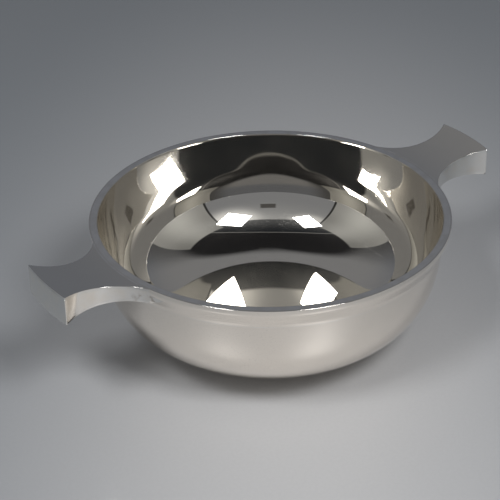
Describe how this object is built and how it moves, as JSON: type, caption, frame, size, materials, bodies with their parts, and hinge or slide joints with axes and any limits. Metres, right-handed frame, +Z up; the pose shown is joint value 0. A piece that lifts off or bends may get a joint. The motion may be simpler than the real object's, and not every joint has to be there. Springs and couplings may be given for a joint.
{
  "type": "quaich",
  "caption": "Two-lugged silver drinking bowl: a raised bowl with a flat rim, a low ring foot and a pair of hollow waisted lugs soldered to the rim.",
  "frame": {"origin": "middle of the foot's base, on the table", "axes": "+Z up, +X along the two lugs, the front of the picture's bowl towards -Y"},
  "size_m": [0.1604, 0.114, 0.046],
  "materials": {
    "polished_silver": "mirror-polished sterling silver with fine polishing marks"
  },
  "bodies": {
    "root": {"bowl": "polished_silver", "rim_wire": "polished_silver", "foot_ring": "polished_silver", "left_lug_top": "polished_silver", "left_lug_front_strip": "polished_silver", "left_lug_back_strip": "polished_silver", "left_lug_end": "polished_silver", "left_lug_under": "polished_silver", "right_lug_top": "polished_silver", "right_lug_front_strip": "polished_silver", "right_lug_back_strip": "polished_silver", "right_lug_end": "polished_silver", "right_lug_under": "polished_silver"}
  },
  "joints": []
}
